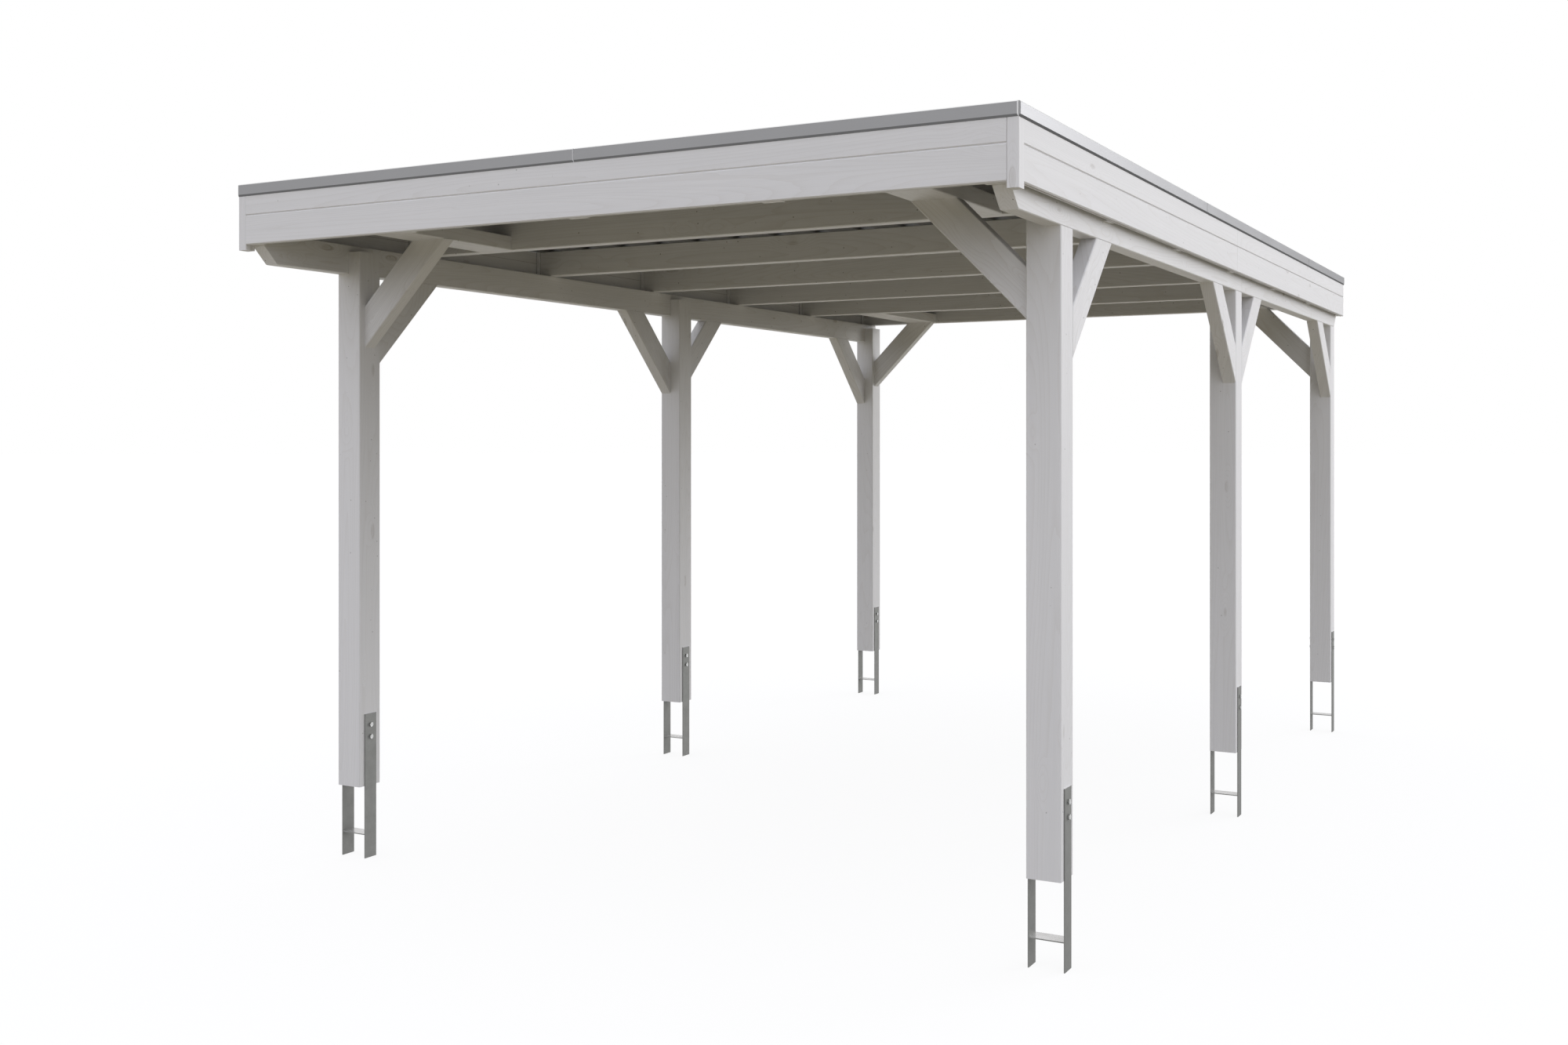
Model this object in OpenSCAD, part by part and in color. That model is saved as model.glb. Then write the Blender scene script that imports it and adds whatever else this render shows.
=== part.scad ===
// Flat-roofed timber carport on six posts: H-anchors, purlins in notched posts,
// rafters with a trapezoidal sheet, and a boarded fascia on three sides.
// Millimetres. X is the width, Y runs from the front to the open rear edge,
// Z is up, and the origin is under the middle of the roof at the anchors' tips.

/* [Frame] */
// Width over the outer faces of the posts
frame_w = 3155; // [2400:5:4000]
// Length of the purlins from end to end
purlin_l = 5515; // [4600:5:7000]
// Height of the seats that carry the purlins
seat_z = 2432; // [2100:2:2800]
// Reach of the purlins in front of the front posts
front_overhang = 453; // [150:1:650]
// Reach of the purlins behind the rear posts
rear_overhang = 55; // [45:1:600]
// Chamfer along the edges of the timbers
ease = 3; // [1:0.5:6]

/* [Posts and anchors] */
// Side of the square posts
post = 120; // [100:1:160]
// Height of the posts' lower ends above the anchors' tips
post_z = 300; // [200:5:400]
// How far the tongue of a post stops below the top of its purlin
tongue_gap = 30; // [10:1:60]
// Length of the anchors' two flats
anchor_l = 600; // [450:10:800]
// Width of the flats
flat_w = 65; // [40:1:80]
// Thickness of the flats and of the crossbar
flat_t = 4; // [3:0.5:8]
// Height of the crossbar between the flats
crossbar_z = 97; // [40:1:160]

/* [Roof timbers] */
// Thickness of the purlins
purlin_t = 60; // [45:1:80]
// Height of the purlins
purlin_h = 120; // [100:1:160]
// Bevel on the lower corner of the purlins' ends
purlin_bevel = 66; // [20:1:90]
// Thickness of the rafters
rafter_t = 60; // [45:1:75]
// Height of the rafters
rafter_h = 120; // [100:1:160]
// Width of the flat trimmers over the cross braces
trimmer_w = 170; // [120:1:200]
// Height of the trimmers
trimmer_h = 60; // [30:1:90]

/* [Braces] */
// Width of the braces
brace_w = 122; // [80:1:140]
// Thickness of the braces
brace_t = 60; // [40:1:70]
// Run of a brace's lower edge along the post and along the purlin
brace_run = 427; // [300:1:520]

/* [Fascia] */
// Height that one fascia board covers
board_cover = 115; // [95:1:130]
// Thickness of the fascia boards
board_t = 19; // [16:0.5:28]
// Chamfer of the boards at their V joints
board_v = 4; // [1:0.5:5]
// Thickness of the boards' tongues
tongue_t = 5.4; // [4:0.1:7]
// Height of the boards' tongues
tongue_h = 5; // [4:0.5:10]
// Room for a tongue in its groove, all round
tongue_room = 0.3; // [0.1:0.1:1]
// Width of the cleats that carry the boards
cleat_w = 76; // [60:1:160]
// Thickness of the cleats
cleat_t = 20; // [15:0.5:30]
// Reach of the side boards past the last rafter
board_reach = 30; // [0:1:50]
// Length of the corner blocks along the sides
block_l = 46; // [40:1:80]
// How far the corner blocks hang below the boards
block_drop = 20; // [0:1:50]
// Gap at the butt joints of boards, purlins and caps
joint_gap = 1.5; // [0.5:0.1:3]

/* [Edge caps] */
// Height of the caps' outer legs
cap_h = 40; // [25:1:60]
// Distance between the boards and the caps' outer legs
cap_stand = 3.5; // [1:0.5:10]
// Height of the lips that lead from the legs back to the boards
cap_lip = 7; // [4:0.5:15]
// Clearance between the lips and the boards
cap_play = 0.5; // [0.2:0.1:0.9]
// Cut of the bend along the caps' outer edge
cap_bend = 3; // [2:0.5:6]
// Length over which a cap's leg turns back to the boards at its ends
cap_turn = 2.5; // [1:0.5:6]
// Thickness of the caps
cap_t = 1.5; // [1:0.1:3]
// Width of the caps' top flanges
cap_flange = 62; // [45:1:90]
// Height of the caps' inner legs
cap_leg = 15; // [5:1:20]
// Reach of the side caps past the ends of the boards
cap_reach = 5; // [0:1:60]
// Length of one piece of side cap
cap_piece_l = 2232; // [1500:1:3000]

/* [Roof sheet] */
// Height of the sheet's ribs
rib_h = 35; // [18:1:45]
// Distance between ribs, adjusted to fit the width
rib_pitch = 207; // [150:1:300]
// Width of a rib at its foot
rib_base = 88; // [60:1:110]
// Width of a rib at its crown
rib_crown = 40; // [20:1:55]
// Thickness of the sheet
sheet_t = 2; // [1:0.1:3]
// Height of the fascia's top above the ribs' crowns
edge_stand = 27; // [21:1:60]
// Clearance between the sheet and the boards and blocks round it
sheet_room = 3; // [1:0.5:8]
// Reach of the sheet past the last rafter
sheet_reach = 30; // [0:1:50]

/* [Hidden] */

LEFT = -1;
RIGHT = 1;
RAFTERS = 7;
FRONT_CLEATS = 5;
WOOD = "#d6d6d6";
STEEL = "#8a8c8c";
ALUMINIUM = "#9a9aa0";

// Small overlap that lets a cut run past the face it opens
past = 1;

// Width
outer_x = frame_w / 2;
inner_x = outer_x - post;
board_x = outer_x + cleat_t;
skin_x = board_x + board_t;
cap_x = skin_x + cap_stand + cap_t;

// Length
stack = cap_x - outer_x;
roof_l = stack + purlin_l + board_reach + cap_reach;
front_y = stack - roof_l / 2;
skin_y = front_y - cleat_t - board_t;
cap_y = front_y - stack;
block_end_y = skin_y + block_l;
rear_y = front_y + purlin_l;
board_end_y = rear_y + board_reach;
cap_end_y = board_end_y + cap_reach;
post_ys = [
    front_y + front_overhang + post / 2,
    (front_y + front_overhang + rear_y - rear_overhang) / 2,
    rear_y - rear_overhang - post / 2
];
rafter_pitch = (purlin_l - rafter_t) / (RAFTERS - 1);
rafter_ys = [for (i = [0:RAFTERS - 1]) front_y + rafter_t / 2 + i * rafter_pitch];
middle_rafter = floor(RAFTERS / 2);

// Height
rafter_z = seat_z + purlin_h;
sheet_z = rafter_z + rafter_h;
fascia_top = sheet_z + sheet_t + rib_h + edge_stand;
fascia_z = fascia_top - tongue_h - 2 * board_cover;
board_zs = [fascia_z, fascia_z + board_cover];

// Boards
groove_t = tongue_t + 2 * tongue_room;
groove_h = tongue_h + tongue_room;

// Roof sheet
sheet_w = 2 * (board_x - sheet_room);
rib_count = round(sheet_w / rib_pitch);
rib_step = sheet_w / rib_count;

// Mirrors what is drawn on the right when side is LEFT
module on_side(side) {
    mirror([side == LEFT ? 1 : 0, 0, 0]) children();
}

function backwards(points) = [for (i = [len(points) - 1:-1:0]) points[i]];

// A flat outline, drawn as width and height, extruded along Y
module along_y(y0, y1) {
    translate([0, y1, 0]) rotate([90, 0, 0]) linear_extrude(y1 - y0) children();
}

// A flat outline, drawn as distance to the front and height, extruded along X
module along_x(x0, x1) {
    mirror([0, 1, 0]) translate([x0, 0, 0]) rotate([90, 0, 90]) linear_extrude(x1 - x0) children();
}

// Section of a timber with eased edges, centred
module section(w, h) {
    polygon([
        [-w / 2 + ease, -h / 2], [w / 2 - ease, -h / 2],
        [w / 2, -h / 2 + ease], [w / 2, h / 2 - ease],
        [w / 2 - ease, h / 2], [-w / 2 + ease, h / 2],
        [-w / 2, h / 2 - ease], [-w / 2, -h / 2 + ease]
    ]);
}

// A timber standing on z0
module upright(w, d, z0, z1) {
    translate([0, 0, z0]) linear_extrude(z1 - z0) section(w, d);
}

// A post with an outer notch for its purlin, leaving a tongue inside
module post_at(side, row) {
    top = rafter_z - tongue_gap;
    color(WOOD) on_side(side) translate([outer_x - post / 2, post_ys[row], 0]) difference() {
        upright(post, post, post_z, top);
        translate([post / 2 - purlin_t, -post / 2 - past, seat_z])
            cube([purlin_t + past, post + 2 * past, top - seat_z + past]);
    }
}

// An H-anchor: two flats on the post's sides and a welded crossbar
module anchor_at(side, row) {
    color(STEEL) on_side(side) translate([outer_x - post / 2, post_ys[row] - flat_w / 2, 0]) {
        for (x = [-post / 2 - flat_t, post / 2])
            translate([x, 0, 0]) cube([flat_t, flat_w, anchor_l]);
        translate([-post / 2, 0, crossbar_z]) cube([post, flat_w, flat_t]);
    }
}

// One whole purlin line between two places, with both lower corners bevelled
module purlin_line(y0, y1) {
    intersection() {
        translate([outer_x - purlin_t / 2, 0, seat_z + purlin_h / 2])
            along_y(y0, y1) section(purlin_t, purlin_h);
        translate([0, 0, seat_z]) rotate([90, 0, 90]) linear_extrude(frame_w) polygon([
            [front_y, purlin_h], [front_y, purlin_bevel], [front_y + purlin_bevel, 0],
            [rear_y - purlin_bevel, 0], [rear_y, purlin_bevel], [rear_y, purlin_h]
        ]);
    }
}

// The two lengths of a purlin meet in a half lap over the middle post:
// the front length keeps its outer cheek there, the rear length its inner one
module purlin_front(side) {
    lap_y0 = post_ys[1] - post / 2;
    lap_y1 = post_ys[1] + post / 2;
    color(WOOD) on_side(side) difference() {
        purlin_line(front_y, lap_y1);
        translate([outer_x - purlin_t - past, lap_y0 - joint_gap, seat_z - past])
            cube([purlin_t / 2 + past, post + joint_gap + past, purlin_h + 2 * past]);
    }
}

module purlin_rear(side) {
    lap_y0 = post_ys[1] - post / 2;
    color(WOOD) on_side(side) difference() {
        purlin_line(lap_y0, rear_y);
        translate([outer_x - purlin_t / 2, lap_y0 - past, seat_z - past])
            cube([purlin_t / 2 + past, post + joint_gap + past, purlin_h + 2 * past]);
    }
}

// A 45 degree brace in the XZ plane: its foot lies on a post's face at X = 0
// and its head under a timber at Z = 0
module brace() {
    half = brace_w / 2 / sqrt(2);
    intersection() {
        translate([-half, 0, half - brace_run]) rotate([0, 45, 0])
            upright(brace_w, brace_t, -brace_w, brace_run * sqrt(2) + brace_w);
        translate([0, -brace_t, -2 * brace_run])
            cube([2 * brace_run, 2 * brace_t, 2 * brace_run]);
    }
}

// Braces under a purlin, flush with the posts' outer faces
module side_braces(side) {
    rearward = [0, 1];
    forward = [1, 2];
    color(WOOD) on_side(side) translate([outer_x - brace_t / 2, 0, seat_z]) {
        for (row = rearward)
            translate([0, post_ys[row] + post / 2, 0]) rotate([0, 0, 90]) brace();
        for (row = forward)
            translate([0, post_ys[row] - post / 2, 0]) rotate([0, 0, -90]) brace();
    }
}

// Braces across the carport at one row of posts
module cross_braces(row) {
    color(WOOD) for (side = [LEFT, RIGHT])
        on_side(side) translate([inner_x, post_ys[row], rafter_z]) mirror([1, 0, 0]) brace();
}

// A rafter on the two purlins
module rafter(i) {
    color(WOOD) translate([0, rafter_ys[i], rafter_z + rafter_h / 2])
        rotate([0, 90, 0]) translate([0, 0, -outer_x]) linear_extrude(frame_w) section(rafter_h, rafter_t);
}

// Two flat trimmers between neighbouring rafters, over the heads of the cross braces
module trimmers(i) {
    head_x = inner_x - brace_run + brace_w / sqrt(2);
    color(WOOD) for (side = [LEFT, RIGHT])
        on_side(side) translate([head_x, 0, rafter_z + trimmer_h / 2])
            along_y(rafter_ys[i] + rafter_t / 2, rafter_ys[i + 1] - rafter_t / 2)
                section(trimmer_w, trimmer_h);
}

// Cleats on the rafters' ends, cut off at the corner block and under the sheet
module cleats_side(side) {
    color(WOOD) on_side(side) for (y = rafter_ys) {
        y0 = max(y - cleat_w / 2, block_end_y);
        translate([outer_x, y0, fascia_z])
            cube([cleat_t, y + cleat_w / 2 - y0, sheet_z - fascia_z]);
    }
}

// Cleats on the first rafter's face, the outer ones flush with the purlins
module cleats_front() {
    span = frame_w - cleat_w;
    color(WOOD) for (i = [0:FRONT_CLEATS - 1])
        translate([-outer_x + i * span / (FRONT_CLEATS - 1), front_y - cleat_t, fascia_z])
            cube([cleat_w, cleat_t, fascia_top - fascia_z]);
}

// Outline of a fascia board from its inner face outwards: a groove below,
// V chamfers outside and a tongue above
module board_outline() {
    middle = board_t / 2;
    difference() {
        union() {
            polygon([
                [0, 0], [board_t - board_v, 0], [board_t, board_v],
                [board_t, board_cover - board_v], [board_t - board_v, board_cover], [0, board_cover]
            ]);
            translate([middle - tongue_t / 2, board_cover - past]) square([tongue_t, tongue_h + past]);
        }
        translate([middle - groove_t / 2, -past]) square([groove_t, groove_h + past]);
    }
}

// A row of side boards in two lengths that meet on the middle rafter's cleat
module boards_side(side, level) {
    joint_y = rafter_ys[middle_rafter];
    lengths = [[block_end_y, joint_y - joint_gap / 2], [joint_y + joint_gap / 2, board_end_y]];
    color(WOOD) on_side(side) for (ends = lengths)
        translate([board_x, 0, board_zs[level]]) along_y(ends[0], ends[1]) board_outline();
}

// A row of front boards between the corner blocks
module boards_front(level) {
    color(WOOD) translate([0, front_y - cleat_t, board_zs[level]])
        along_x(-outer_x, outer_x) board_outline();
}

// The block that fills a front corner of the fascia, with its front edges eased
module corner_block(side) {
    block_w = skin_x - outer_x;
    foot = fascia_z - block_drop;
    color(WOOD) on_side(side) translate([outer_x, skin_y, foot]) linear_extrude(fascia_top - foot) polygon([
        [ease, 0], [block_w - ease, 0], [block_w, ease],
        [block_w, block_l], [0, block_l], [0, ease]
    ]);
}

// Outline of an edge cap from the boards' outer face outwards: an inner leg,
// a flange, a bend, an outer leg and a lip that slants back to the boards
module cap_outline() {
    outer = cap_stand + cap_t;
    inner = outer - cap_flange;
    foot = cap_t - cap_h;
    inner_bend = cap_bend - (2 - sqrt(2)) * cap_t;
    slope = cap_lip / (outer - cap_play);
    lip_t = cap_t * sqrt(1 + slope * slope);
    polygon([
        [outer - cap_bend, cap_t], [outer, cap_t - cap_bend],
        [outer, foot], [cap_play, foot - cap_lip],
        [cap_play, foot - cap_lip + lip_t], [cap_stand, foot - slope * cap_t + lip_t],
        [cap_stand, -inner_bend], [cap_stand - inner_bend, 0],
        [inner + cap_t, 0], [inner + cap_t, -cap_leg], [inner, -cap_leg], [inner, cap_t]
    ]);
}

// The space between the boards and the outside of a cap's leg and lip
module cap_filling() {
    outer = cap_stand + cap_t;
    foot = cap_t - cap_h;
    polygon([
        [cap_play, cap_t], [cap_play, foot - cap_lip], [outer, foot],
        [outer, cap_t - cap_bend], [outer - cap_bend, cap_t]
    ]);
}

// Keeps what lies inside a flat outline seen from above, at the caps' height
module within_plan(outline) {
    depth = cap_h + cap_lip + past;
    intersection() {
        children();
        translate([0, 0, -depth]) linear_extrude(depth + cap_t + past) polygon(outline);
    }
}

// One piece of cap along Y, with the boards' outer face at X = 0 and their top at Z = 0:
// its leg turns back to the boards at both ends, and its flange may be mitred
module cap_piece(length, mitred_start, mitred_end) {
    outer = cap_stand + cap_t;
    inner = outer - cap_flange;
    slant = cap_turn / (outer - cap_play);
    turn_t = cap_t * sqrt(1 + slant * slant);
    start = mitred_start ? [[inner, -inner], [0, 0]] : [[inner, 0]];
    end = mitred_end ? [[0, length], [inner, length + inner]] : [[inner, length]];
    leg = [[cap_play, 0], [outer, cap_turn], [outer, length - cap_turn], [cap_play, length]];
    within_plan(concat(start, leg, end)) along_y(0, length) cap_outline();
    within_plan([leg[0], leg[1], leg[1] + [0, turn_t], leg[0] + [0, turn_t]])
        along_y(0, length) cap_filling();
    within_plan([leg[3] - [0, turn_t], leg[2] - [0, turn_t], leg[2], leg[3]])
        along_y(0, length) cap_filling();
}

// A side cap in pieces, mitred at the front corner, where its leg stops short
// and leaves the corner open
module cap_side(side) {
    pieces = ceil(roof_l / cap_piece_l);
    cuts = [for (i = [0:pieces]) cap_y + i * cap_piece_l];
    color(ALUMINIUM) on_side(side) for (i = [0:pieces - 1]) {
        y0 = i == 0 ? skin_y + joint_gap : cuts[i] + joint_gap;
        y1 = i == pieces - 1 ? cap_end_y : cuts[i + 1];
        translate([skin_x, y0, fascia_top]) cap_piece(y1 - y0, i == 0, false);
    }
}

// The front cap in two pieces, mitred at both corners as the side caps are
module cap_front() {
    length = skin_x - 1.5 * joint_gap;
    color(ALUMINIUM) translate([0, skin_y, fascia_top]) rotate([0, 0, -90]) {
        translate([0, -length - joint_gap / 2, 0]) cap_piece(length, true, false);
        translate([0, joint_gap / 2, 0]) cap_piece(length, false, true);
    }
}

// Points of the sheet's surface at a height above the rafters, left to right
function sheet_surface(z) = concat(
    [[-sheet_w / 2, z]],
    [
        for (i = [0:rib_count - 1], p = [[-rib_base, 0], [-rib_crown, rib_h], [rib_crown, rib_h], [rib_base, 0]])
            [-sheet_w / 2 + (i + 0.5) * rib_step + p[0] / 2, z + p[1]]
    ],
    [[sheet_w / 2, z]]
);

// The trapezoidal sheet, with its ribs running to the rear edge
module sheet() {
    color(ALUMINIUM) translate([0, 0, sheet_z]) along_y(block_end_y + sheet_room, rear_y + sheet_reach)
        polygon(concat(sheet_surface(sheet_t), backwards(sheet_surface(0))));
}

post_at(LEFT, 0);  // post_front_left
post_at(RIGHT, 0);  // post_front_right
post_at(LEFT, 1);  // post_middle_left
post_at(RIGHT, 1);  // post_middle_right
post_at(LEFT, 2);  // post_rear_left
post_at(RIGHT, 2);  // post_rear_right
anchor_at(LEFT, 0);  // anchor_front_left
anchor_at(RIGHT, 0);  // anchor_front_right
anchor_at(LEFT, 1);  // anchor_middle_left
anchor_at(RIGHT, 1);  // anchor_middle_right
anchor_at(LEFT, 2);  // anchor_rear_left
anchor_at(RIGHT, 2);  // anchor_rear_right
purlin_front(LEFT);  // purlin_left_front
purlin_rear(LEFT);  // purlin_left_rear
purlin_front(RIGHT);  // purlin_right_front
purlin_rear(RIGHT);  // purlin_right_rear
side_braces(LEFT);  // side_braces_left
side_braces(RIGHT);  // side_braces_right
cross_braces(0);  // cross_braces_front
cross_braces(2);  // cross_braces_rear
rafter(0);  // rafter_1
rafter(1);  // rafter_2
rafter(2);  // rafter_3
rafter(3);  // rafter_4
rafter(4);  // rafter_5
rafter(5);  // rafter_6
rafter(6);  // rafter_7
trimmers(0);  // trimmers_front
trimmers(RAFTERS - 2);  // trimmers_rear
cleats_front();  // fascia_cleats_front
cleats_side(LEFT);  // fascia_cleats_left
cleats_side(RIGHT);  // fascia_cleats_right
boards_front(0);  // fascia_front_lower
boards_front(1);  // fascia_front_upper
boards_side(LEFT, 0);  // fascia_left_lower
boards_side(LEFT, 1);  // fascia_left_upper
boards_side(RIGHT, 0);  // fascia_right_lower
boards_side(RIGHT, 1);  // fascia_right_upper
corner_block(LEFT);  // fascia_corner_left
corner_block(RIGHT);  // fascia_corner_right
cap_front();  // edge_cap_front
cap_side(LEFT);  // edge_cap_left
cap_side(RIGHT);  // edge_cap_right
sheet();  // roof_sheet
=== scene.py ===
"""Looks of the timber carport: white lacquered spruce on galvanised anchors, a dark coated
roof sheet and grey edge caps. Metres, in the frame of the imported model: X is the width,
Y runs from the front to the open rear edge, and Z is up."""

import math

import bmesh
import bpy
from mathutils import Matrix, Vector


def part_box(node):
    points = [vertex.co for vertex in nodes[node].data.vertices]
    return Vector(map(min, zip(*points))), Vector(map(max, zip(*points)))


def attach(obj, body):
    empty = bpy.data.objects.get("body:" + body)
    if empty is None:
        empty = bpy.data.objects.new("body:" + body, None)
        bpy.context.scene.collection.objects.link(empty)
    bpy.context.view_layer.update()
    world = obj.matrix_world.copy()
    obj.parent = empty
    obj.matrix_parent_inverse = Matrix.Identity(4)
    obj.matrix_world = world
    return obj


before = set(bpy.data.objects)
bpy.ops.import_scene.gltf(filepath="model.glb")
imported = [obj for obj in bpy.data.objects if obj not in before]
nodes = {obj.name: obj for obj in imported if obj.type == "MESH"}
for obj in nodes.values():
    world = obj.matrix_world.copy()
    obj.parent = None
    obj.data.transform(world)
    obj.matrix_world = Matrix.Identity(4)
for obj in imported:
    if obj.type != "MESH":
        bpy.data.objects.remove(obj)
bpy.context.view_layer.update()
scene = bpy.context.scene
scene.view_settings.view_transform = "Standard"

# Parts of the nodes' names
ROWS = ("front", "middle", "rear")
SIDES = ("left", "right")
RAFTERS = [f"rafter_{i}" for i in range(1, 8)]


def middle_y(name):
    """The middle of a node along the carport."""
    low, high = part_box(name)
    return (low.y + high.y) / 2


# Places that the looks take from the frame
FRONT_POST_Y = middle_y("post_front_left")
POST_PITCH = middle_y("post_middle_left") - FRONT_POST_Y
RAFTER_Y = middle_y(RAFTERS[0])
RAFTER_PITCH = middle_y(RAFTERS[1]) - RAFTER_Y
RAFTER_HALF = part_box(RAFTERS[0])[1].y - RAFTER_Y
BOARD_JOINT_Y = middle_y(RAFTERS[3])
BOARD_SEAM_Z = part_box("fascia_right_upper")[0].z
BOARD_INNER_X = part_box("fascia_right_upper")[0].x
CLEAT_INNER_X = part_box("fascia_cleats_right")[0].x
CAP_FOOT_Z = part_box("edge_cap_front")[0].z

# Camera, level, with the frame shifted as the photo's is
CAMERA_PLACE = (3.2606, -7.1914, 1.7193)
CAMERA_TURN = math.radians(28.068)
SENSOR = 36.0
LENS = 36.216
SHIFT = (-0.01588, -0.04942)

# Light
SKY = (1.02, 1.04, 1.15)
SUN_TURN = math.radians(32)
SUN_RISE = math.radians(16)
SUN_STRENGTH = 0.86
SUN_SPREAD = math.radians(31)
FLOOR_SEEN = (1.0, 1.0, 1.0)
FLOOR_BOUNCE = (0.265, 0.235, 0.160)
FLOOR_GLOW = 0.9
FLOOR_RADIUS = 300.0
FLOOR_POINTS = 96

# Colours of the lacquered spruce
LACQUER = (0.755, 0.750, 0.745, 1)
GRAIN_TINT = (0.50, 0.46, 0.41, 1)
KNOT_TINT = (0.42, 0.39, 0.35, 1)
PIN_TINT = (0.20, 0.18, 0.16, 1)
# Painted shade in the joints between boards and in the creases beside the cleats
SEAM_SHADE = (0.20, 0.19, 0.18, 1)

# Strength of the grain on the outer timbers and on those under the roof
OUTER_GRAIN = 1.25
INNER_GRAIN = 2.2

# Width of the painted shade in the joints between boards, and in the creases beside the cleats
BOARD_SEAM = 0.0010
CLEAT_SEAM = 0.0045

# Knots: the size of their cells, the share of cells with one, radii in cells and tints
KNOT_CELL = 0.10
KNOT_STRETCH = 3.0
KNOT_SHARE = 0.45
KNOT_LEAST = 0.05
KNOT_RANGE = 0.12
KNOT_CORE = 0.55
KNOT_REACH = 3.2
KNOT_DEPTH = 0.14
KNOT_RING_DEPTH = 0.20
KNOT_ROUGH = 0.08

# Pin knots
PIN_CELL = 0.05
PIN_RADIUS = 0.0034
PIN_SHARE = 0.45
PIN_DEPTH = 0.42

# Year rings
RINGS = 40
RING_BULGE = 0.10
RING_WANDER = 0.012
LATE_POWER = 4.0
LATE_DEPTH = 0.11

# Noise of the wood, across, across and along the grain, and what it does to the colour
SLOW = (5.0, 5.0, 0.35)
WANDER = (60.0, 60.0, 3.0)
FIBRE = (520.0, 520.0, 11.0)
STREAK = (45.0, 45.0, 0.9)
CLOUD = (4.0, 4.0, 1.5)
FIBRE_TONE = (-0.016, 0.014)
STREAK_TONE = (-0.020, 0.014)
CLOUD_TONE = (-0.010, 0.008)
LACQUER_ROUGH = (0.52, 0.62)

# How far apart in the wood two pieces are cut, and how much paler one is than the other
PIECE_SHIFT = (37.0, 53.0, 71.0)
PIECE_TONE = 0.98
PIECE_TONE_RANGE = 0.03

# Relief of the wood
FIBRE_RELIEF = 0.5
LATE_RELIEF = 0.6
PIN_RELIEF = 1.5
WOOD_BUMP = 0.25
WOOD_BUMP_H = 0.0006

# Galvanised steel: its flakes and mottle, and how level a face is where it gets a painted highlight and
# turns smooth
ZINC = (0.238, 0.240, 0.231, 1)
ZINC_TOP_HIGHLIGHT = (0.93, 0.92, 0.91, 1)
TOP_HIGHLIGHT_FROM = (0.7, 1.0)
LEVEL_ROUGH = -0.35
SPANGLE = (160.0,) * 3
FLAKE_TONE = 0.975
FLAKE_TONE_RANGE = 0.05
MOTTLE = (22.0,) * 3
MOTTLE_TONE = (0.95, 1.04)
MOTTLE_ROUGH = (0.62, 0.52)

# Screws and their washers
SCREW_ZINC = (0.56, 0.565, 0.56, 1)
SCREW_MOTTLE = (300.0,) * 3
SCREW_TONE = (0.90, 1.04)
SCREW_ROUGH = (0.24, 0.38)
RUBBER = (0.030, 0.030, 0.030, 1)
RUBBER_GRAIN = (700.0,) * 3
RUBBER_TONE = (0.8, 1.2)
RUBBER_ROUGH = (0.65, 0.85)

# Edge caps: the height of the painted shade on the lip, and how near a normal is where the painted
# highlight on a bend or an end begins and is full
CAP_GREY = (0.295, 0.295, 0.305, 1)
CAP_LIP_SHADE = (0.13, 0.13, 0.13, 1)
CAP_LIP_H = 0.007
CAP_BEND_HIGHLIGHT = (0.90, 0.90, 0.91, 1)
BEND_HIGHLIGHT_FROM = (0.2, 0.1)
CAP_END_HIGHLIGHT = (0.62, 0.62, 0.63, 1)
END_HIGHLIGHT_FROM = (0.3, 0.6)
ROLLED_X = (6.0, 500.0, 500.0)
ROLLED_Y = (500.0, 6.0, 500.0)
ROLLED_ROUGH = (0.29, 0.33)
DULL = (3.0,) * 3
DULL_TONE = (0.97, 1.03)
DULL_ROUGH = (-0.02, 0.03)

# Roof sheet
ROOF_COAT = (0.095, 0.094, 0.088, 1)
ROOF_GRAIN = (900.0,) * 3
ROOF_ROUGH = (0.48, 0.62)
ROOF_DUST = (0.30, 0.28, 0.25, 1)
DUST = (6.0, 1.2, 6.0)
DUST_FROM = (0.48, 0.75)
DUST_MOST = 0.10

# Hexagon heads and washers, in parts of their size, and the points on a round
HEAD_CHAMFER = 0.6
HEAD_RIM = 0.95
HEAD_DISH = 0.80
HEAD_DISH_H = 0.96
WASHER_EDGE = 0.3
ROUND = 24

# Screws of the anchors: places below the flats' tops, sizes, and turns in degrees
HEAD_DROPS = (0.047, 0.097)
HEAD_FLATS = 0.0165
HEAD_H = 0.007
FIRST_TURN = 17
DROP_TURN = 23
SIDE_TURN = 11


# Shader nodes

def put(tree, kind, inputs=None, **settings):
    """Adds a node and sets its settings; each input is linked or set."""
    made = tree.nodes.new(kind)
    for key, value in settings.items():
        setattr(made, key, value)
    for key, value in (inputs or {}).items():
        if isinstance(value, bpy.types.NodeSocket):
            tree.links.new(value, made.inputs[key])
        else:
            made.inputs[key].default_value = value
    return made


def calc(tree, operation, *values):
    """The result of a Math node."""
    return put(tree, "ShaderNodeMath", dict(enumerate(values)), operation=operation).outputs[0]


def ramp(tree, value, start, end, low=0.0, high=1.0):
    """A smooth step from low to high as value goes from start to end."""
    inputs = {"Value": value, "From Min": start, "From Max": end, "To Min": low, "To Max": high}
    return put(tree, "ShaderNodeMapRange", inputs, interpolation_type="SMOOTHSTEP").outputs[0]


def spread(tree, value, low, high):
    """Spreads a noise value, which stays near a half, between low and high."""
    inputs = {"Value": value, "From Min": 0.25, "From Max": 0.75, "To Min": low, "To Max": high}
    return put(tree, "ShaderNodeMapRange", inputs).outputs[0]


def blend(tree, share, first, second, mode="MIX"):
    """Mixes two colours."""
    inputs = {0: share, 6: first, 7: second}
    return put(tree, "ShaderNodeMix", inputs, data_type="RGBA", blend_type=mode).outputs[2]


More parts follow.
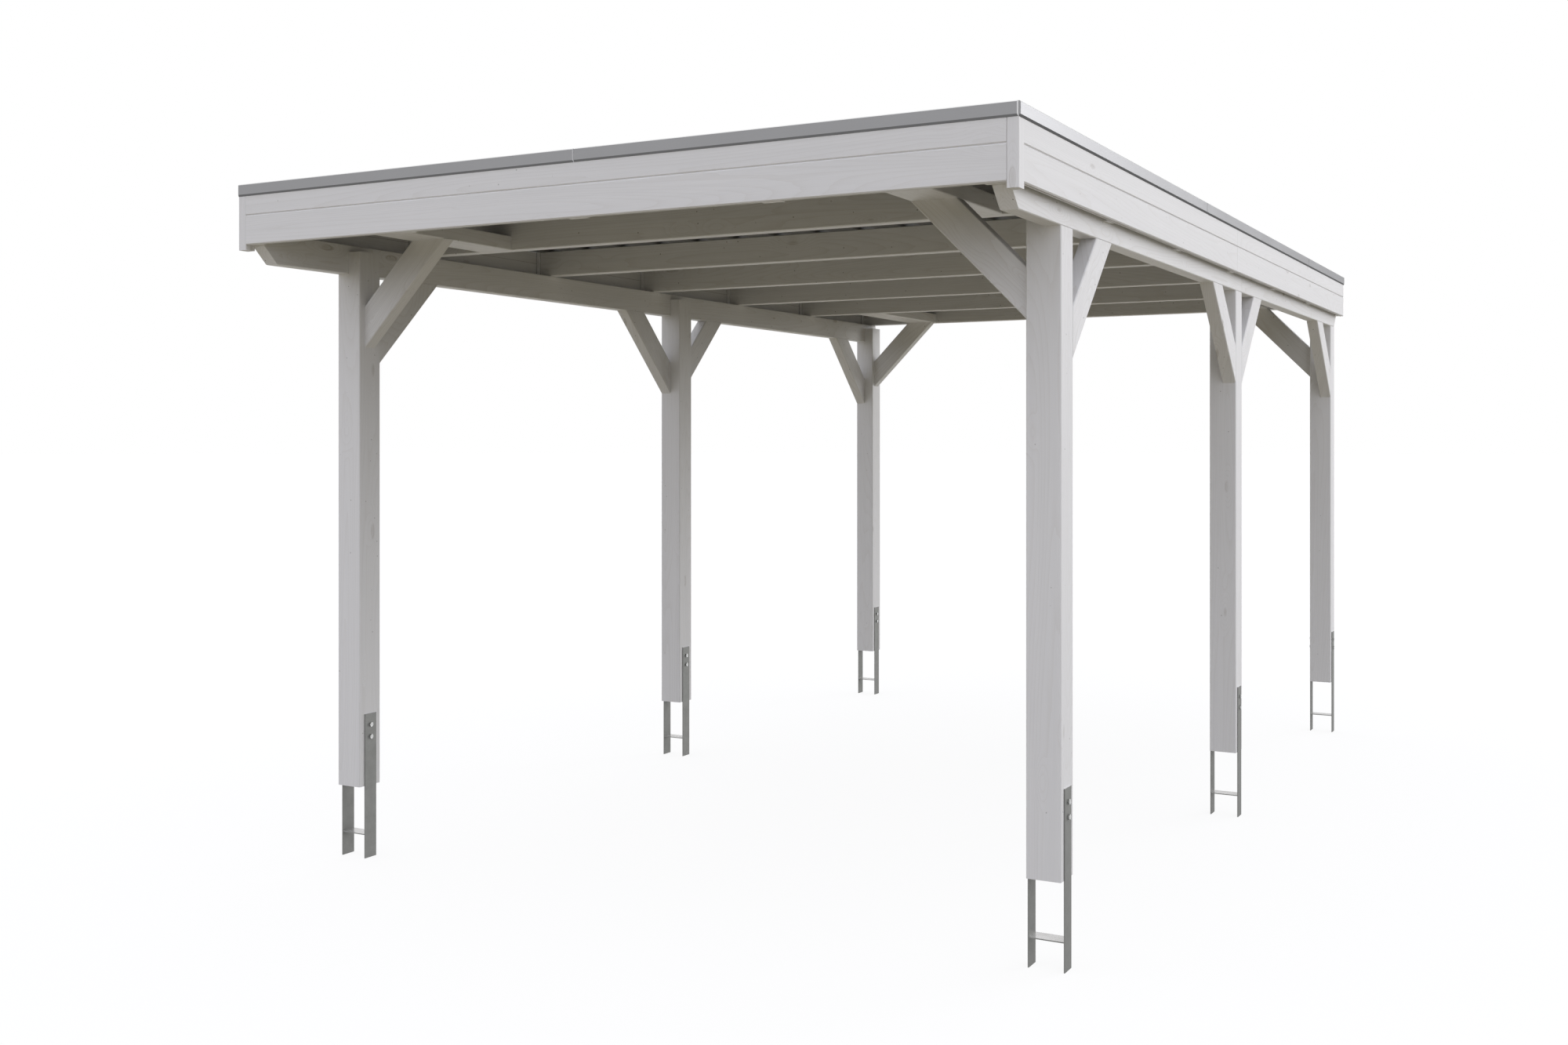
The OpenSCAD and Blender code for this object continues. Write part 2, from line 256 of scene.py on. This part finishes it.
def scaled(tree, place, factors):
    """A place with each axis multiplied."""
    return put(tree, "ShaderNodeVectorMath", {0: place, 1: factors}, operation="MULTIPLY").outputs[0]


def noise(tree, place, factors, detail=2.0):
    """Noise in a stretched space."""
    inputs = {"Vector": scaled(tree, place, factors), "Scale": 1.0, "Detail": detail}
    return put(tree, "ShaderNodeTexNoise", inputs).outputs["Fac"]


def cells(tree, place, factors):
    """Distance to the nearest cell point and two random values of that cell."""
    made = put(tree, "ShaderNodeTexVoronoi", {"Vector": scaled(tree, place, factors), "Scale": 1.0})
    parts = put(tree, "ShaderNodeSeparateColor", {0: made.outputs["Color"]})
    return made.outputs["Distance"], parts.outputs[0], parts.outputs[1]


def grey(tree, value):
    """A grey colour from a number."""
    return put(tree, "ShaderNodeCombineColor", {0: value, 1: value, 2: value}).outputs[0]


def new_material(name):
    """An empty material with its object coordinates and its surface shader."""
    material = bpy.data.materials.new(name)
    material.use_nodes = True
    tree = material.node_tree
    place = put(tree, "ShaderNodeTexCoord").outputs["Object"]
    return material, tree, place, tree.nodes["Principled BSDF"]


def raise_surface(tree, shader, height, strength, distance):
    """A bump map on the shader."""
    bump = put(tree, "ShaderNodeBump", {"Height": height, "Strength": strength, "Distance": distance})
    tree.links.new(bump.outputs[0], shader.inputs["Normal"])


# Lacquered spruce

def spruce_group():
    """White lacquer over planed spruce; Place is across, across and along the grain."""
    tree = bpy.data.node_groups.new("lacquered_spruce", "ShaderNodeTree")
    tree.interface.new_socket("Place", in_out="INPUT", socket_type="NodeSocketVector")
    tree.interface.new_socket("Grain", in_out="INPUT", socket_type="NodeSocketFloat")
    tree.interface.new_socket("Colour", in_out="OUTPUT", socket_type="NodeSocketColor")
    tree.interface.new_socket("Roughness", in_out="OUTPUT", socket_type="NodeSocketFloat")
    tree.interface.new_socket("Height", in_out="OUTPUT", socket_type="NodeSocketFloat")

    # Every piece is cut from another place in the wood
    given = tree.nodes.new("NodeGroupInput").outputs
    grain = given["Grain"]
    piece = put(tree, "ShaderNodeObjectInfo").outputs["Random"]
    shifts = [calc(tree, "MULTIPLY", piece, shift) for shift in PIECE_SHIFT]
    offset = put(tree, "ShaderNodeCombineXYZ", dict(enumerate(shifts))).outputs[0]
    place = put(tree, "ShaderNodeVectorMath", {0: given["Place"], 1: offset}, operation="ADD").outputs[0]

    # Knots are ovals along the grain, and the rings bend round them
    across = 1 / KNOT_CELL
    distance, chance, size = cells(tree, place, (across, across, across / KNOT_STRETCH))
    present = calc(tree, "LESS_THAN", chance, calc(tree, "MULTIPLY", grain, KNOT_SHARE))
    radius = calc(tree, "MULTIPLY_ADD", size, KNOT_RANGE, KNOT_LEAST)
    ratio = calc(tree, "DIVIDE", distance, radius)
    knot = calc(tree, "MULTIPLY", ramp(tree, ratio, 1.0, KNOT_CORE), present)
    bulge = calc(tree, "MULTIPLY", ramp(tree, ratio, KNOT_REACH, 0.0), present)

    # Year rings are the contours of a slow noise drawn out along the grain
    slow = noise(tree, place, SLOW, detail=1.0)
    wander = noise(tree, place, WANDER)
    field = calc(tree, "MULTIPLY_ADD", bulge, RING_BULGE, slow)
    field = calc(tree, "MULTIPLY_ADD", wander, RING_WANDER, field)
    ring = calc(tree, "FRACT", calc(tree, "MULTIPLY", field, RINGS))
    late = calc(tree, "POWER", ring, LATE_POWER)

    fibre = noise(tree, place, FIBRE, detail=3.0)
    streak = noise(tree, place, STREAK, detail=3.0)
    cloud = noise(tree, place, CLOUD)

    # Small dark pin knots
    pins, pin_chance, _ = cells(tree, place, (1 / PIN_CELL,) * 3)
    pin_edge = PIN_RADIUS / PIN_CELL
    pin_present = calc(tree, "LESS_THAN", pin_chance, calc(tree, "MULTIPLY", grain, PIN_SHARE))
    pin = calc(tree, "MULTIPLY", ramp(tree, pins, pin_edge, pin_edge / 2), pin_present)

    # Colour
    tone = calc(tree, "ADD", spread(tree, fibre, *FIBRE_TONE), spread(tree, streak, *STREAK_TONE))
    tone = calc(tree, "ADD", tone, spread(tree, cloud, *CLOUD_TONE))
    piece_tone = calc(tree, "MULTIPLY_ADD", piece, PIECE_TONE_RANGE, PIECE_TONE)
    tone = calc(tree, "MULTIPLY_ADD", tone, grain, piece_tone)
    colour = blend(tree, 1.0, LACQUER, grey(tree, tone), "MULTIPLY")
    late_share = calc(tree, "MULTIPLY", calc(tree, "MULTIPLY", late, LATE_DEPTH), grain)
    colour = blend(tree, late_share, colour, GRAIN_TINT)
    knot_depth = calc(tree, "MULTIPLY_ADD", ring, KNOT_RING_DEPTH, KNOT_DEPTH)
    knot_share = calc(tree, "MULTIPLY", calc(tree, "MULTIPLY", knot, knot_depth), grain)
    colour = blend(tree, knot_share, colour, KNOT_TINT)
    pin_share = calc(tree, "MULTIPLY", calc(tree, "MULTIPLY", pin, PIN_DEPTH), grain)
    colour = blend(tree, pin_share, colour, PIN_TINT)

    knot_rough = calc(tree, "MULTIPLY", knot, KNOT_ROUGH)
    rough = calc(tree, "ADD", spread(tree, fibre, *LACQUER_ROUGH), knot_rough)
    height = calc(tree, "MULTIPLY_ADD", fibre, FIBRE_RELIEF, calc(tree, "MULTIPLY", late, LATE_RELIEF))
    height = calc(tree, "SUBTRACT", height, calc(tree, "MULTIPLY", pin, PIN_RELIEF))
    put(tree, "NodeGroupOutput", {"Colour": colour, "Roughness": rough, "Height": height})
    return tree


# A grain gives the places across, across and along a timber; shifts tell a node's timbers apart
SECOND_BOARD_SHIFT = 1.7
SIDE_BRACE_SHIFT = 0.4
CROSS_BRACE_SHIFT = 0.8


def grain_x(tree, x, y, z):
    """Along X."""
    return y, z, x


def grain_y(tree, x, y, z):
    """Along Y."""
    return x, z, y


def grain_z(tree, x, y, z):
    """Along Z."""
    return x, y, z


def grain_side_board(tree, x, y, z):
    """Along Y, with other wood past the boards' butt joint."""
    second = calc(tree, "GREATER_THAN", y, BOARD_JOINT_Y)
    return calc(tree, "MULTIPLY_ADD", second, SECOND_BOARD_SHIFT, x), z, y


def leaning(tree, across, run, z):
    """Along a timber that rises at 45 degrees with its run."""
    half = math.sqrt(0.5)
    low = calc(tree, "MULTIPLY", calc(tree, "SUBTRACT", z, run), half)
    along = calc(tree, "MULTIPLY", calc(tree, "ADD", z, run), half)
    return across, low, along


def grain_side_brace(tree, x, y, z):
    """Rising away from the nearest post of a side."""
    run = calc(tree, "PINGPONG", calc(tree, "SUBTRACT", y, FRONT_POST_Y), POST_PITCH / 2)
    return leaning(tree, calc(tree, "MULTIPLY_ADD", y, SIDE_BRACE_SHIFT, x), run, z)


def grain_cross_brace(tree, x, y, z):
    """Rising towards the middle of the carport."""
    run = calc(tree, "MULTIPLY", calc(tree, "ABSOLUTE", x), -1.0)
    side = calc(tree, "SIGN", x)
    return leaning(tree, calc(tree, "MULTIPLY_ADD", side, CROSS_BRACE_SHIFT, y), run, z)


def board_seam_shade(tree, x, y, z):
    """Painted shade in the joint between two boards, as a line on their inner side."""
    off = calc(tree, "ABSOLUTE", calc(tree, "SUBTRACT", z, BOARD_SEAM_Z))
    inner = calc(tree, "LESS_THAN", calc(tree, "ABSOLUTE", x), BOARD_INNER_X + BOARD_SEAM)
    return calc(tree, "MULTIPLY", ramp(tree, off, BOARD_SEAM, 0.0), inner)


def cleat_crease_shade(tree, x, y, z):
    """Painted shade in the creases where a side cleat meets the boards and its rafter."""
    out = calc(tree, "ABSOLUTE", x)
    boards = ramp(tree, out, BOARD_INNER_X - CLEAT_SEAM, BOARD_INNER_X)
    off = calc(tree, "PINGPONG", calc(tree, "SUBTRACT", y, RAFTER_Y), RAFTER_PITCH / 2)
    rafter = ramp(tree, off, RAFTER_HALF + CLEAT_SEAM, RAFTER_HALF)
    inner = calc(tree, "LESS_THAN", out, CLEAT_INNER_X + BOARD_SEAM)
    return calc(tree, "MAXIMUM", boards, calc(tree, "MULTIPLY", rafter, inner))


def spruce(name, group, grain, strength, seam=None):
    """A lacquered timber with its grain in one direction, and perhaps with painted shade in its joints.
    """
    material, tree, place, shader = new_material(name)
    axes = put(tree, "ShaderNodeSeparateXYZ", {0: place}).outputs
    turned = put(tree, "ShaderNodeCombineXYZ", dict(enumerate(grain(tree, *axes)))).outputs[0]
    wood = put(tree, "ShaderNodeGroup", node_tree=group)
    tree.links.new(turned, wood.inputs["Place"])
    wood.inputs["Grain"].default_value = strength
    colour = wood.outputs["Colour"]
    if seam:
        # The joints and creases get painted shade
        colour = blend(tree, seam(tree, *axes), colour, SEAM_SHADE)
    tree.links.new(colour, shader.inputs["Base Color"])
    tree.links.new(wood.outputs["Roughness"], shader.inputs["Roughness"])
    raise_surface(tree, shader, wood.outputs["Height"], WOOD_BUMP, WOOD_BUMP_H)
    return material


# Metals

def galvanised_steel():
    """Dull zinc with a faint spangle, smoother and with a painted highlight on level faces."""
    material, tree, place, shader = new_material("galvanised_steel")
    _, flake, _ = cells(tree, place, SPANGLE)
    mottle = noise(tree, place, MOTTLE, detail=4.0)
    flake_tone = calc(tree, "MULTIPLY_ADD", flake, FLAKE_TONE_RANGE, FLAKE_TONE)
    tone = calc(tree, "MULTIPLY", flake_tone, spread(tree, mottle, *MOTTLE_TONE))
    colour = blend(tree, 1.0, ZINC, grey(tree, tone), "MULTIPLY")
    normal = put(tree, "ShaderNodeNewGeometry").outputs["Normal"]
    level = put(tree, "ShaderNodeSeparateXYZ", {0: normal}).outputs[2]
    # Painted highlight: level faces that point up are pale
    top_highlight = ramp(tree, level, *TOP_HIGHLIGHT_FROM)
    colour = blend(tree, top_highlight, colour, ZINC_TOP_HIGHLIGHT)
    rough = calc(tree, "MULTIPLY_ADD", top_highlight, LEVEL_ROUGH, spread(tree, mottle, *MOTTLE_ROUGH))
    tree.links.new(colour, shader.inputs["Base Color"])
    tree.links.new(rough, shader.inputs["Roughness"])
    shader.inputs["Metallic"].default_value = 0.8
    shader.inputs["Specular Tint"].default_value = (0.6, 0.6, 0.6, 1)
    raise_surface(tree, shader, noise(tree, place, SPANGLE, detail=3.0), 0.10, 0.001)
    return material


def zinc_screws():
    """Bright zinc plating."""
    material, tree, place, shader = new_material("zinc_screws")
    mottle = noise(tree, place, SCREW_MOTTLE, detail=3.0)
    colour = blend(tree, 1.0, SCREW_ZINC, grey(tree, spread(tree, mottle, *SCREW_TONE)), "MULTIPLY")
    tree.links.new(colour, shader.inputs["Base Color"])
    tree.links.new(spread(tree, mottle, *SCREW_ROUGH), shader.inputs["Roughness"])
    shader.inputs["Metallic"].default_value = 1.0
    return material


def cap_metal(name, stretch, highlighted_ends=False):
    """Satin grey metal, rolled along the cap, with painted shade on the lip, a painted highlight on the
    bend and perhaps painted highlights on the ends.
    """
    material, tree, place, shader = new_material(name)
    rolled = noise(tree, place, stretch, detail=3.0)
    dull = noise(tree, place, DULL, detail=3.0)
    height = put(tree, "ShaderNodeSeparateXYZ", {0: place}).outputs[2]
    # Painted shade: the lowest strip of the cap, on its lip, is dark
    lip_shade = calc(tree, "LESS_THAN", height, CAP_FOOT_Z + CAP_LIP_H)
    colour = blend(tree, lip_shade, CAP_GREY, CAP_LIP_SHADE)
    normal = put(tree, "ShaderNodeNewGeometry").outputs["Normal"]
    facing_x, _, facing_up = put(tree, "ShaderNodeSeparateXYZ", {0: normal}).outputs
    # Painted highlight on faces that lean up at 45 degrees, on the rounded bend
    off_bend = calc(tree, "ABSOLUTE", calc(tree, "SUBTRACT", facing_up, math.sqrt(0.5)))
    colour = blend(tree, ramp(tree, off_bend, *BEND_HIGHLIGHT_FROM), colour, CAP_BEND_HIGHLIGHT)
    if highlighted_ends:
        # Painted highlight on the ends that face along X
        end = calc(tree, "ABSOLUTE", facing_x)
        colour = blend(tree, ramp(tree, end, *END_HIGHLIGHT_FROM), colour, CAP_END_HIGHLIGHT)
    colour = blend(tree, 1.0, colour, grey(tree, spread(tree, dull, *DULL_TONE)), "MULTIPLY")
    rough = calc(tree, "ADD", spread(tree, rolled, *ROLLED_ROUGH), spread(tree, dull, *DULL_ROUGH))
    tree.links.new(colour, shader.inputs["Base Color"])
    tree.links.new(rough, shader.inputs["Roughness"])
    shader.inputs["Metallic"].default_value = 1.0
    shader.inputs["Specular Tint"].default_value = (0.5, 0.5, 0.5, 1)
    raise_surface(tree, shader, rolled, 0.04, 0.0005)
    return material


def roof_coating():
    """Dark matt coil coating with a fine grain and some dust."""
    material, tree, place, shader = new_material("roof_coating")
    fine = noise(tree, place, ROOF_GRAIN)
    dust = noise(tree, place, DUST, detail=4.0)
    colour = blend(tree, ramp(tree, dust, *DUST_FROM, high=DUST_MOST), ROOF_COAT, ROOF_DUST)
    tree.links.new(colour, shader.inputs["Base Color"])
    tree.links.new(spread(tree, dust, *ROOF_ROUGH), shader.inputs["Roughness"])
    raise_surface(tree, shader, fine, 0.2, 0.0003)
    return material


def washer_rubber():
    """Black sealing washers."""
    material, tree, place, shader = new_material("washer_rubber")
    fine = noise(tree, place, RUBBER_GRAIN)
    colour = blend(tree, 1.0, RUBBER, grey(tree, spread(tree, fine, *RUBBER_TONE)), "MULTIPLY")
    tree.links.new(colour, shader.inputs["Base Color"])
    tree.links.new(spread(tree, fine, *RUBBER_ROUGH), shader.inputs["Roughness"])
    return material


def give(material, *names):
    """Puts a material on CAD nodes."""
    for name in names:
        slots = nodes[name].data.materials
        slots.clear()
        slots.append(material)


def finish_nodes():
    """Materials of all CAD nodes; gives back the steel, which the welds share."""
    group = spruce_group()
    front_board = spruce("spruce_front_boards", group, grain_x, OUTER_GRAIN)
    side_board = spruce("spruce_side_boards", group, grain_side_board, OUTER_GRAIN, board_seam_shade)
    along_z = spruce("spruce_along_z", group, grain_z, OUTER_GRAIN)
    side_cleat = spruce("spruce_side_cleats", group, grain_z, OUTER_GRAIN, cleat_crease_shade)
    along_x = spruce("spruce_along_x", group, grain_x, INNER_GRAIN)
    along_y = spruce("spruce_along_y", group, grain_y, INNER_GRAIN)
    side_brace = spruce("spruce_side_braces", group, grain_side_brace, INNER_GRAIN)
    cross_brace = spruce("spruce_cross_braces", group, grain_cross_brace, INNER_GRAIN)

    give(front_board, "fascia_front_lower", "fascia_front_upper")
    give(along_x, *RAFTERS)
    give(along_y, "trimmers_front", "trimmers_rear")
    give(cross_brace, "cross_braces_front", "cross_braces_rear")
    give(along_z, "fascia_cleats_front")
    steel = galvanised_steel()
    side_cap = cap_metal("cap_along_y", ROLLED_Y)
    give(cap_metal("cap_along_x", ROLLED_X, highlighted_ends=True), "edge_cap_front")
    give(roof_coating(), "roof_sheet")
    for side in SIDES:
        give(along_y, f"purlin_{side}_front", f"purlin_{side}_rear")
        give(side_brace, f"side_braces_{side}")
        give(side_cleat, f"fascia_cleats_{side}")
        give(along_z, f"fascia_corner_{side}")
        give(side_board, f"fascia_{side}_lower", f"fascia_{side}_upper")
        give(side_cap, f"edge_cap_{side}")
        for row in ROWS:
            give(along_z, f"post_{row}_{side}")
            give(steel, f"anchor_{row}_{side}")
    return steel


# Added pieces

def new_piece(name, mesh, slot, *materials):
    """A piece of the carport made from a bmesh."""
    data = bpy.data.meshes.new(name)
    mesh.to_mesh(data)
    mesh.free()
    for material in materials:
        data.materials.append(material)
    made = bpy.data.objects.new(name, data)
    scene.collection.objects.link(made)
    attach(made, "root")


def facing(place, direction):
    """The transform that takes +Z to a direction, at a place."""
    return Matrix.Translation(place) @ direction.to_track_quat("Z", "Y").to_matrix().to_4x4()


def skin(mesh, rings, material=0):
    """Faces between rings of points, with both ends closed."""
    loops = [[mesh.verts.new(point) for point in ring] for ring in rings]
    count = len(loops[0])
    faces = []
    for low, high in zip(loops, loops[1:]):
        for i in range(count):
            j = (i + 1) % count
            faces.append(mesh.faces.new((low[i], low[j], high[j], high[i])))
    faces.append(mesh.faces.new(reversed(loops[0])))
    faces.append(mesh.faces.new(loops[-1]))
    for face in faces:
        face.material_index = material


def circle(radius, z):
    """Points of a circle at a height."""
    turns = [2 * math.pi * i / ROUND for i in range(ROUND)]
    return [Vector((radius * math.cos(t), radius * math.sin(t), z)) for t in turns]


def hexagon(apothem, z, slope):
    """Points of a hexagon whose corners fall off with the slope of a chamfer."""
    points = []
    for i in range(ROUND):
        turn = 2 * math.pi * i / ROUND
        off = (turn + math.pi / 6) % (math.pi / 3) - math.pi / 6
        radius = apothem / math.cos(off)
        fall = (radius - apothem) * slope
        points.append(Vector((radius * math.cos(turn), radius * math.sin(turn), z - fall)))
    return points


def hex_head(mesh, place, flats, height):
    """A hexagon head with chamfered corners and a slightly dished top."""
    apothem = flats / 2
    rings = [
        hexagon(apothem, 0, 0), hexagon(apothem, height, HEAD_CHAMFER),
        circle(apothem * HEAD_RIM, height), circle(apothem * HEAD_DISH, height * HEAD_DISH_H),
    ]
    skin(mesh, [[place @ p for p in ring] for ring in rings])


def seal_washer(mesh, place, radius, height):
    """A round washer with an eased rim, in the second material."""
    edge = height * WASHER_EDGE
    rings = [circle(radius, 0), circle(radius, height - edge), circle(radius - edge, height)]
    skin(mesh, [[place @ p for p in ring] for ring in rings], 1)


def anchor_screws(row, side, zinc):
    """Two screws through each flat of an anchor into its post."""
    low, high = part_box(f"anchor_{row}_{side}")
    mesh = bmesh.new()
    y = (low.y + high.y) / 2
    for x, way in ((low.x, -1), (high.x, 1)):
        for i, drop in enumerate(HEAD_DROPS):
            place = facing(Vector((x, y, high.z - drop)), Vector((way, 0, 0)))
            angle = math.radians(FIRST_TURN + DROP_TURN * i + SIDE_TURN * way)
            hex_head(mesh, place @ Matrix.Rotation(angle, 4, "Z"), HEAD_FLATS, HEAD_H)
    new_piece(f"screws_{row}_{side}", mesh, "galvanised_steel", zinc)


# Weld beads between the crossbar and the flats
BEAD_R = 0.0030
BEAD_RIPPLE = 0.0035
RIPPLE_DEPTH = 0.10
TAPER_END = 0.45
TAPER_RISE = 6
BEAD_SIDES = 8
BEAD_INSET = 0.004
FLAT_T = 0.004
CROSSBAR_Z = 0.097


def weld_bead(mesh, start, end):
    """A rippled bead from start to end along Y."""
    length = end.y - start.y
    steps = int(length / (BEAD_RIPPLE / 4))
    rings = []
    for i in range(steps + 1):
        share = i / steps
        ripple = 1 + RIPPLE_DEPTH * math.cos(2 * math.pi * share * length / BEAD_RIPPLE)
        taper = min(1.0, TAPER_END + TAPER_RISE * min(share, 1 - share))
        radius = BEAD_R * ripple * taper
        centre = start.lerp(end, share)
        turns = [2 * math.pi * k / BEAD_SIDES for k in range(BEAD_SIDES)]
        rings.append([centre + Vector((radius * math.sin(t), 0, radius * math.cos(t))) for t in turns])
    skin(mesh, rings)


def anchor_welds(row, side, steel):
    """Beads under the crossbar, at both flats."""
    low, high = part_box(f"anchor_{row}_{side}")
    mesh = bmesh.new()
    for x in (low.x + FLAT_T, high.x - FLAT_T):
        start = Vector((x, low.y + BEAD_INSET, CROSSBAR_Z))
        weld_bead(mesh, start, Vector((x, high.y - BEAD_INSET, CROSSBAR_Z)))
    new_piece(f"welds_{row}_{side}", mesh, "galvanised_steel", steel)


# Roof screws
ROOF_RIBS = 15
ROOF_HEAD_FLATS = 0.008
ROOF_HEAD_H = 0.005
ROOF_WASHER_R = 0.009
ROOF_WASHER_H = 0.0025
ROOF_TURN = 0.7
SHEET_T = 0.002


def roof_screws(zinc, rubber):
    """Sealed screws in the valleys of the sheet, over every rafter."""
    low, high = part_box("roof_sheet")
    step = (high.x - low.x) / ROOF_RIBS
    mesh = bmesh.new()
    for i, rafter in enumerate(RAFTERS, 1):
        y = middle_y(rafter)
        for k in range(1, ROOF_RIBS):
            place = Matrix.Translation((low.x + k * step, y, low.z + SHEET_T))
            turn = Matrix.Rotation(ROOF_TURN * (i + 3 * k), 4, "Z")
            seal_washer(mesh, place, ROOF_WASHER_R, ROOF_WASHER_H)
            on_washer = Matrix.Translation((0, 0, ROOF_WASHER_H))
            hex_head(mesh, place @ on_washer @ turn, ROOF_HEAD_FLATS, ROOF_HEAD_H)
    new_piece("roof_screws", mesh, "galvanised_steel", zinc, rubber)


# Stage

def seen_rays(tree):
    """One for what the camera sees, also in gloss and through glass."""
    rays = put(tree, "ShaderNodeLightPath").outputs
    seen = calc(tree, "MAXIMUM", rays["Is Camera Ray"], rays["Is Glossy Ray"])
    return calc(tree, "MAXIMUM", seen, rays["Is Transmission Ray"])


def make_floor():
    """A pale floor that shows white with a soft shadow and bounces a warm, darker light."""
    mesh = bmesh.new()
    bmesh.ops.create_circle(mesh, cap_ends=True, radius=FLOOR_RADIUS, segments=FLOOR_POINTS)
    data = bpy.data.meshes.new("floor")
    mesh.to_mesh(data)
    mesh.free()
    floor = bpy.data.objects.new("floor", data)
    scene.collection.objects.link(floor)

    material = bpy.data.materials.new("floor")
    material.use_nodes = True
    tree = material.node_tree
    tree.nodes.clear()
    seen = seen_rays(tree)
    colour = blend(tree, seen, (*FLOOR_BOUNCE, 1), (*FLOOR_SEEN, 1))
    matt = put(tree, "ShaderNodeBsdfDiffuse", {"Color": colour})
    glow = put(tree, "ShaderNodeEmission", {"Color": (*FLOOR_SEEN, 1), "Strength": 1.0})
    share = calc(tree, "MULTIPLY", seen, FLOOR_GLOW)
    mixed = put(tree, "ShaderNodeMixShader", {0: share, 1: matt.outputs[0], 2: glow.outputs[0]})
    put(tree, "ShaderNodeOutputMaterial", {"Surface": mixed.outputs[0]})
    data.materials.append(material)


def make_light():
    """An even sky, white where it is seen, and a broad soft lamp from the right."""
    world = bpy.data.worlds.new("sky")
    scene.world = world
    world.use_nodes = True
    tree = world.node_tree
    tree.nodes.clear()
    colour = blend(tree, seen_rays(tree), (*SKY, 1), (1, 1, 1, 1))
    sky = put(tree, "ShaderNodeBackground", {"Color": colour, "Strength": 1.0})
    put(tree, "ShaderNodeOutputWorld", {"Surface": sky.outputs[0]})

    lamp = bpy.data.lights.new("soft_lamp", "SUN")
    lamp.energy = SUN_STRENGTH
    lamp.angle = SUN_SPREAD
    holder = bpy.data.objects.new("soft_lamp", lamp)
    holder.rotation_euler = (math.pi / 2 - SUN_RISE, 0, math.pi - SUN_TURN)
    scene.collection.objects.link(holder)


def make_camera():
    """The photo's camera."""
    data = bpy.data.cameras.new("camera")
    data.sensor_width = SENSOR
    data.lens = LENS
    data.shift_x, data.shift_y = SHIFT
    camera = bpy.data.objects.new("camera", data)
    camera.location = CAMERA_PLACE
    camera.rotation_euler = (math.radians(90), 0, CAMERA_TURN)
    scene.collection.objects.link(camera)
    scene.camera = camera


make_camera()
make_light()
make_floor()
steel = finish_nodes()
zinc = zinc_screws()
for row in ROWS:
    for side in SIDES:
        anchor_screws(row, side, zinc)
        anchor_welds(row, side, steel)
roof_screws(zinc, washer_rubber())
